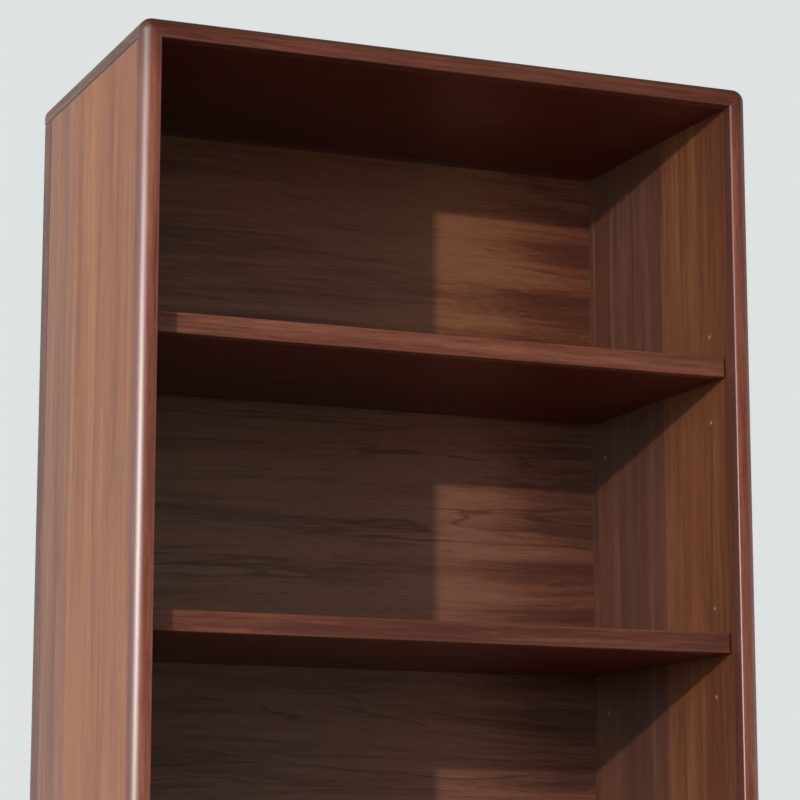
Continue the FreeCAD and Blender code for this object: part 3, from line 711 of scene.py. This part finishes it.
def zinc_plate():
    """Dull plated steel with a faint bloom."""
    material = bpy.data.materials.new("zinc_plated_steel")
    material.use_nodes = True
    tree = material.node_tree
    spot = add(tree, "ShaderNodeTexCoord").outputs["Object"]
    bloom = cloud(tree, spot, BLOOM_SCALE, detail=3.0, roughness=0.6)
    colour = blend(tree, spread(tree, bloom, *BLOOM_ENDS), tone(*STEEL_DARK), tone(*STEEL_PALE))
    bump = add(tree, "ShaderNodeBump", {"Height": bloom, "Strength": 0.15, "Distance": 0.0001})
    plating = tree.nodes["Principled BSDF"]
    plating.inputs["Metallic"].default_value = 1.0
    tree.links.new(colour, plating.inputs["Base Color"])
    tree.links.new(spread(tree, bloom, *GLOSS_ENDS, *STEEL_GLOSS), plating.inputs["Roughness"])
    tree.links.new(bump.outputs["Normal"], plating.inputs["Normal"])
    return material


def draw_out(way, end, share=1.0):
    """Extrudes the selected face and scales the new end about its middle."""
    bpy.ops.mesh.extrude_region_move(TRANSFORM_OT_translate={"value": way})
    if share != 1.0:
        bpy.ops.transform.resize(value=(share, share, share), center_override=end)


def smooth(piece):
    """Points every face outwards and shades the rounds smooth."""
    bpy.ops.mesh.select_all(action="SELECT")
    bpy.ops.mesh.normals_make_consistent(inside=False)
    bpy.ops.object.mode_set(mode="OBJECT")
    take_up(piece)
    bpy.ops.object.shade_smooth_by_angle(angle=SOFT_ANGLE)


def one_set(name, pieces):
    """Joins like pieces into one set."""
    bpy.ops.object.select_all(action="DESELECT")
    for piece in pieces:
        piece.select_set(True)
    bpy.context.view_layer.objects.active = pieces[0]
    bpy.ops.object.join()
    pieces[0].name = name
    return pieces[0]


deck_low, deck_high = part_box("bottom_panel")
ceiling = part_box("top_panel")[0].z
lowest = deck_low.z + SCREW_INSET
highest = ceiling - SCREW_INSET
screw_places = []
for hand in (-1, 1):
    for step in range(SCREWS_UP):
        screw_places.append(Vector((hand * (side_low.x + BACK_LAP / 2), back_high.y,
                                    lowest + (highest - lowest) * step / (SCREWS_UP - 1))))
for row in ((deck_low.z + deck_high.z) / 2, ceiling + BACK_LAP / 2):
    for step in (-1, 0, 1):
        screw_places.append(Vector((step * (side_low.x - SCREW_INSET), back_high.y, row)))

first_screw = screw_places[0]
bpy.ops.object.select_all(action="DESELECT")
bpy.ops.mesh.primitive_circle_add(vertices=SCREW_SIDES, radius=SCREW_HEAD, fill_type="NGON",
                                  location=first_screw, rotation=(math.pi / 2, 0, 0))
screw = bpy.context.object
settle()
bpy.ops.object.mode_set(mode="EDIT")
bpy.ops.mesh.select_all(action="SELECT")
cone = SCREW_HEAD - SCREW_SHANK
reached = first_screw.copy()
for length, share in ((cone, SCREW_SHANK / SCREW_HEAD), (SCREW_LENGTH - cone - SCREW_TIP, 1.0),
                      (SCREW_TIP, TIP_SHARE)):
    reached.y -= length
    draw_out((0, -length, 0), reached, share)
smooth(screw)
for arm_x, arm_z in ((CROSS_ARM, CROSS_WIDTH), (CROSS_WIDTH, CROSS_ARM)):
    half = Vector((arm_x / 2, CROSS_DEPTH, arm_z / 2))
    cutter = block("cross_cutter", first_screw - half, first_screw + half)
    pick_faces(lambda p: p.y < first_screw.y - CROSS_DEPTH + HAIR)
    bpy.ops.transform.resize(value=(CROSS_TAPER, 1.0, CROSS_TAPER), center_override=first_screw)
    bpy.ops.object.mode_set(mode="OBJECT")
    take_up(screw)
    recess = screw.modifiers.new("recess", "BOOLEAN")
    recess.operation = "DIFFERENCE"
    recess.object = cutter
    bpy.ops.object.modifier_apply(modifier=recess.name)
    bpy.data.objects.remove(cutter)

steel = zinc_plate()
screw.data.materials.append(steel)
screws = [screw]
for number, screw_place in enumerate(screw_places[1:], start=1):
    twin = copy_of(screw, f"screw_{number}", screw_place - first_screw)
    bpy.ops.transform.rotate(value=SCREW_TURN * number, orient_axis="Y", center_override=screw_place)
    settle()
    screws.append(twin)
back_screws = one_set("back_screws", screws)
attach(back_screws, "case")
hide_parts("back_panel_screws")

# The floor glides: four turned discs of dark brown plastic with a rounded rim.
# Each is fixed under a side panel by a steel nail, whose head sits in a dish.
GLIDE_SIDES = 40
GLIDE_RADIUS = 0.010
GLIDE_HEIGHT = 0.004
GLIDE_ROUND = 0.0012
GLIDE_DISH = 0.0045
GLIDE_DISH_DEPTH = 0.0012
NAIL_RADIUS = 0.0015
NAIL_LENGTH = 0.014
NAIL_POINT = 0.003
NAIL_HEAD_RADIUS = 0.003
NAIL_HEAD = 0.0006
NAIL_HEAD_TAPER = 0.8
GLIDE_DARK = (34, 25, 21)
GLIDE_PALE = (52, 40, 34)
GLIDE_GLOSS = (0.5, 0.7)
MOULD_SCALE = 1400.0
plastic = bpy.data.materials.new("glide_plastic")
plastic.use_nodes = True
tree = plastic.node_tree
moulded = cloud(tree, add(tree, "ShaderNodeTexCoord").outputs["Object"], MOULD_SCALE)
bump = add(tree, "ShaderNodeBump", {"Height": moulded, "Strength": 0.2, "Distance": 0.0001})
skin = tree.nodes["Principled BSDF"]
tree.links.new(blend(tree, moulded, tone(*GLIDE_DARK), tone(*GLIDE_PALE)), skin.inputs["Base Color"])
tree.links.new(spread(tree, moulded, *GLOSS_ENDS, *GLIDE_GLOSS), skin.inputs["Roughness"])
tree.links.new(bump.outputs["Normal"], skin.inputs["Normal"])

glide_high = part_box("floor_glides")[1]
glide_places = []
for hand in (-1, 1):
    for end in (-1, 1):
        glide_places.append(Vector((hand * (glide_high.x - GLIDE_RADIUS),
                                    end * (glide_high.y - GLIDE_RADIUS), 0)))
first_glide = glide_places[0]
bpy.ops.object.select_all(action="DESELECT")
bpy.ops.mesh.primitive_cylinder_add(vertices=GLIDE_SIDES, radius=GLIDE_RADIUS, depth=GLIDE_HEIGHT,
                                    location=first_glide + Vector((0, 0, GLIDE_HEIGHT / 2)))
glide = bpy.context.object
settle()
bpy.ops.object.mode_set(mode="EDIT")
pick_edges(lambda a, b: both_at(a, b, UPWARDS, 0))
round_over(GLIDE_ROUND, ARRIS_STEPS)
pick_faces(lambda p: near(p.z, 0))
bpy.ops.mesh.inset(thickness=GLIDE_RADIUS - GLIDE_ROUND - GLIDE_DISH)
draw_out((0, 0, GLIDE_DISH_DEPTH), first_glide)
bpy.ops.mesh.inset(thickness=GLIDE_DISH - NAIL_HEAD_RADIUS)
draw_out((0, 0, -NAIL_HEAD), first_glide)
bpy.ops.transform.resize(value=(NAIL_HEAD_TAPER, NAIL_HEAD_TAPER, 1.0), center_override=first_glide)
pick_faces(lambda p: near(p.z, GLIDE_HEIGHT))
bpy.ops.mesh.inset(thickness=GLIDE_RADIUS - NAIL_RADIUS)
nail_tip = first_glide + Vector((0, 0, GLIDE_HEIGHT + NAIL_LENGTH))
draw_out((0, 0, NAIL_LENGTH - NAIL_POINT), nail_tip)
draw_out((0, 0, NAIL_POINT), nail_tip, TIP_SHARE)
smooth(glide)
glide.data.materials.append(plastic)
glide.data.materials.append(steel)
for face in glide.data.polygons:
    away = math.hypot(face.center.x - first_glide.x, face.center.y - first_glide.y)
    if away < NAIL_HEAD_RADIUS + HAIR and not near(face.center.z, GLIDE_DISH_DEPTH):
        face.material_index = 1
glides = [glide]
for number, glide_place in enumerate(glide_places[1:], start=1):
    glides.append(copy_of(glide, f"glide_{number}", glide_place - first_glide))
floor_glides = one_set("nailed_glides", glides)
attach(floor_glides, "case")
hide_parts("floor_glides")

# The shelf pins: short steel rods with rounded ends, pushed into holes bored in the side panels.
# Four carry each shelf, and each set can be moved up or down a hole.
PIN_SIDES = 32
PIN_RADIUS = 0.003
PIN_ROUND = 0.0008
PIN_LENGTH = 0.021
pins_low, pins_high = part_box("shelf_1_pins")
pin_places = []
for across in (pins_low.x + PIN_LENGTH / 2, pins_high.x - PIN_LENGTH / 2):
    for behind in (pins_low.y + PIN_RADIUS, pins_high.y - PIN_RADIUS):
        pin_places.append(Vector((across, behind, pins_low.z + PIN_RADIUS)))
first_pin = pin_places[0]
bpy.ops.object.select_all(action="DESELECT")
bpy.ops.mesh.primitive_cylinder_add(vertices=PIN_SIDES, radius=PIN_RADIUS, depth=PIN_LENGTH,
                                    location=first_pin, rotation=(0, math.pi / 2, 0))
pin = bpy.context.object
settle()
bpy.ops.object.mode_set(mode="EDIT")
pick_edges(lambda a, b: near(a.x, b.x))
round_over(PIN_ROUND, ARRIS_STEPS)
smooth(pin)
pin.data.materials.append(steel)
pins = [pin]
for number, pin_place in enumerate(pin_places[1:], start=1):
    pins.append(copy_of(pin, f"pin_{number}", pin_place - first_pin))
first_set = one_set("shelf_1_steel_pins", pins)
for number in range(1, SHELF_COUNT + 1):
    pin_set = first_set
    if number > 1:
        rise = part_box(f"shelf_{number}_pins")[0] - pins_low
        pin_set = copy_of(first_set, f"shelf_{number}_steel_pins", rise)
    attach(pin_set, "case")
    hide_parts(f"shelf_{number}_pins")

# The shelves: four loose veneered boards with a solid strip glued along the front, rounded on its edges.
# Notches under the ends drop over the steel pins and hide them.
SHELF_ARRIS = 0.0025
SHELF_ARRIS_STEPS = 5
SHELF_LIFTS = (0.00, -0.10, -0.04, 0.03)
edge_low, edge_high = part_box("shelf_1_lipping")
first_edge = block("shelf_1_edge", edge_low, edge_high)
pick_edges(lambda a, b: both_at(a, b, BACKWARDS, edge_low.y))
round_over(SHELF_ARRIS, SHELF_ARRIS_STEPS)
ease(first_edge)
for number, lift in enumerate(SHELF_LIFTS, start=1):
    dress(level_veneer, f"shelf_{number}_board")
    low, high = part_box(f"shelf_{number}_lipping")
    edge = first_edge
    if number > 1:
        edge = copy_of(first_edge, f"shelf_{number}_edge", low - edge_low)
    edge.data.materials.clear()
    edge.data.materials.append(level_strip(f"shelf_{number}_strip", low, high, lift))
    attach(edge, f"shelf_{number}")
    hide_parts(f"shelf_{number}_lipping")

# The floor: a plain pale sheet that fades into the background with distance.
# It throws little light back up, so the undersides of the shelves stay dark.
FLOOR_HALF = 30.0
FLOOR_DARK = tone(200, 203, 202)
FLOOR_PALE = tone(208, 211, 210)
FLOOR_BOUNCE = tone(80, 70, 64)
FLOOR_CLOUDS = 3.0
FLOOR_GLOW = 0.35
FADE_FROM = 0.9
FADE_TO = 3.4
PALE = tone(222, 226, 225)


def ray_kinds(tree):
    """Whether a surface is seen by the camera, and whether it is seen in something shiny."""
    rays = add(tree, "ShaderNodeLightPath").outputs
    return rays["Is Camera Ray"], reckon(tree, "MAXIMUM", rays["Is Glossy Ray"], rays["Is Transmission Ray"])


bpy.ops.object.select_all(action="DESELECT")
bpy.ops.mesh.primitive_plane_add(size=2 * FLOOR_HALF, location=(0, 0, 0))
floor = bpy.context.object
floor.name = "floor"
sheet = bpy.data.materials.new("pale_floor")
sheet.use_nodes = True
tree = sheet.node_tree
spot = add(tree, "ShaderNodeTexCoord").outputs["Object"]
seen, mirrored = ray_kinds(tree)
shown = reckon(tree, "MAXIMUM", seen, mirrored)
matt = tree.nodes["Principled BSDF"]
matt.inputs["Roughness"].default_value = 0.75
matt.inputs["Specular IOR Level"].default_value = 0.2
pale = blend(tree, cloud(tree, spot, FLOOR_CLOUDS), FLOOR_DARK, FLOOR_PALE)
tree.links.new(blend(tree, shown, FLOOR_BOUNCE, pale), matt.inputs["Base Color"])
away = add(tree, "ShaderNodeVectorMath", {0: spot}, operation="LENGTH").outputs["Value"]
fade = reckon(tree, "MULTIPLY", spread(tree, away, FADE_FROM, FADE_TO, FLOOR_GLOW, 1.0), shown)
glow = add(tree, "ShaderNodeEmission", {"Color": PALE, "Strength": 1.0})
mixed = add(tree, "ShaderNodeMixShader", {0: fade, 1: matt.outputs[0], 2: glow.outputs[0]})
tree.links.new(mixed.outputs[0], tree.nodes["Material Output"].inputs["Surface"])
floor.data.materials.append(sheet)

# The studio: a pale backdrop all round that lights the case evenly, dimmer overhead, and dimmer still in
# the lacquer's reflections. At the left stand a wide window-like lamp, a small one that throws clear
# shadows, and a low one that shows only in the lacquer. Three more fill in the sides and the rear.
SURROUND_LIGHT = 1.10
OVERHEAD_DIM = 0.45
OVERHEAD_ENDS = (0.15, 0.65)
MIRRORED_BEHIND = 0.65
MIRRORED_FRONT = 0.25
MIRRORED_ENDS = (-0.6, 0.4)
CASE_MIDDLE = Vector((0.0, 0.0, 1.1))
WHITE_LIGHT = (1.0, 1.0, 1.0)
WARM_LIGHT = (1.0, 0.95, 0.87)
world = bpy.data.worlds.new("studio")
bpy.context.scene.world = world
world.use_nodes = True
tree = world.node_tree
backdrop = tree.nodes["Background"]
backdrop.inputs["Color"].default_value = PALE
seen, mirrored = ray_kinds(tree)
way = add(tree, "ShaderNodeSeparateXYZ", {0: add(tree, "ShaderNodeTexCoord").outputs["Generated"]}).outputs
mirror_level = spread(tree, way["Y"], *MIRRORED_ENDS, MIRRORED_FRONT, MIRRORED_BEHIND)
level = add(tree, "ShaderNodeMix", {0: mirrored, 2: SURROUND_LIGHT, 3: mirror_level}).outputs[0]
level = reckon(tree, "MULTIPLY", level, spread(tree, way["Z"], *OVERHEAD_ENDS, 1.0, OVERHEAD_DIM))
level = add(tree, "ShaderNodeMix", {0: seen, 2: level, 3: 1.0}).outputs[0]
tree.links.new(level, backdrop.inputs["Strength"])


def lamp(name, place, width, height, watts, colour=WHITE_LIGHT, in_lacquer=False, on_wood=True):
    """A rectangular soft lamp that points at the case and doesn't show itself.
    It may show in the lacquer, and it may light the wood."""
    light = bpy.data.lights.new(name, "AREA")
    light.shape = "RECTANGLE"
    light.size = width
    light.size_y = height
    light.energy = watts
    light.color = colour
    holder = bpy.data.objects.new(name, light)
    bpy.context.scene.collection.objects.link(holder)
    holder.location = place
    holder.rotation_euler = (CASE_MIDDLE - Vector(place)).to_track_quat("-Z", "Y").to_euler()
    holder.visible_camera = False
    holder.visible_glossy = in_lacquer
    holder.visible_diffuse = on_wood


lamp("beam_lamp", (-5.50, -4.2, 2.45), width=0.09, height=0.09, watts=250.0, colour=WARM_LIGHT)
lamp("gleam_lamp", (-5.50, -4.2, 1.40), width=0.30, height=0.30, watts=520.0, colour=WARM_LIGHT,
     in_lacquer=True, on_wood=False)
lamp("window_lamp", (-5.60, -3.3, 1.9), width=3.0, height=2.4, watts=120.0, in_lacquer=True)
lamp("left_lamp", (-4.6, 1.4, 1.5), width=2.4, height=2.8, watts=145.0)
lamp("right_lamp", (4.8, 0.5, 1.9), width=2.0, height=2.4, watts=120.0)
lamp("rear_lamp", (1.4, 4.0, 4.4), width=2.4, height=2.4, watts=240.0)

# The camera: it stands low in front of the left side and looks up along the case at its upper half.
# Its place and lens were fitted to the edges of the case in the photograph.
CAMERA_PLACE = (-1.3408, -3.2776, 0.7667)
CAMERA_TURN = 0.3911
CAMERA_TILT = 0.1815
CAMERA_LENS = 128.85
CAMERA_SENSOR = 36.0
camera = bpy.data.cameras.new("camera")
camera.lens = CAMERA_LENS
camera.sensor_width = CAMERA_SENSOR
holder = bpy.data.objects.new("camera", camera)
bpy.context.scene.collection.objects.link(holder)
holder.location = CAMERA_PLACE
holder.rotation_euler = (math.pi / 2 + CAMERA_TILT, 0.0, -CAMERA_TURN)
bpy.context.scene.camera = holder
bpy.context.scene.view_settings.view_transform = "Standard"
